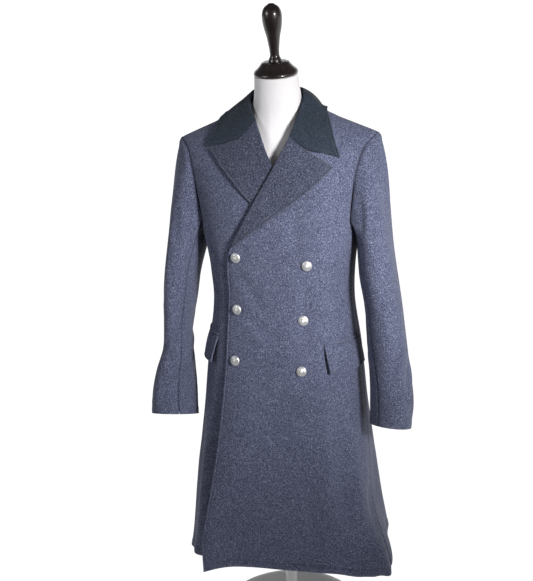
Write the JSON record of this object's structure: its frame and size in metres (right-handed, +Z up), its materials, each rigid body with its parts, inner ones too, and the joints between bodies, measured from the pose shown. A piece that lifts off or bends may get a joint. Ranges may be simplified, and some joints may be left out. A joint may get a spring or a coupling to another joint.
{
  "type": "greatcoat on dress form",
  "caption": "Knee-length double-breasted wool greatcoat with felt collar, wide lapels and flap pockets, worn by a smooth limbless dress form on a pole and round base.",
  "frame": {"origin": "centre of the base plate's underside, on the floor", "axes": "+Z up, along the pole; -Y the way the coat faces; +X towards the wearer's left side"},
  "size_m": [0.6808, 0.4145, 1.6325],
  "materials": {
    "wool": "blue-grey melange melton wool, matt",
    "felt": "dark teal-grey felted collar cloth, matt",
    "metal": "satin silver-coloured buttons",
    "jersey": "white knitted cover stretched over the form",
    "wood": "dark brown lacquered turned wood, glossy",
    "stand": "white enamel, satin"
  },
  "bodies": {
    "root": {"front_left": "wool", "front_right": "wool", "back_left": "wool", "back_right": "wool", "topsleeve_left": "wool", "topsleeve_right": "wool", "undersleeve_left": "wool", "undersleeve_right": "wool", "lapel_left": "wool", "lapel_right": "wool", "flap_left": "wool", "flap_right": "wool", "welt_left": "wool", "welt_right": "wool", "collar": "felt", "collar_stand": "felt", "button_left_1": "metal", "button_left_2": "metal", "button_left_3": "metal", "button_right_1": "metal", "button_right_2": "metal", "button_right_3": "metal", "form": "jersey", "neck_cap": "wood", "finial": "wood", "pole": "stand", "base": "stand"}
  },
  "joints": []
}
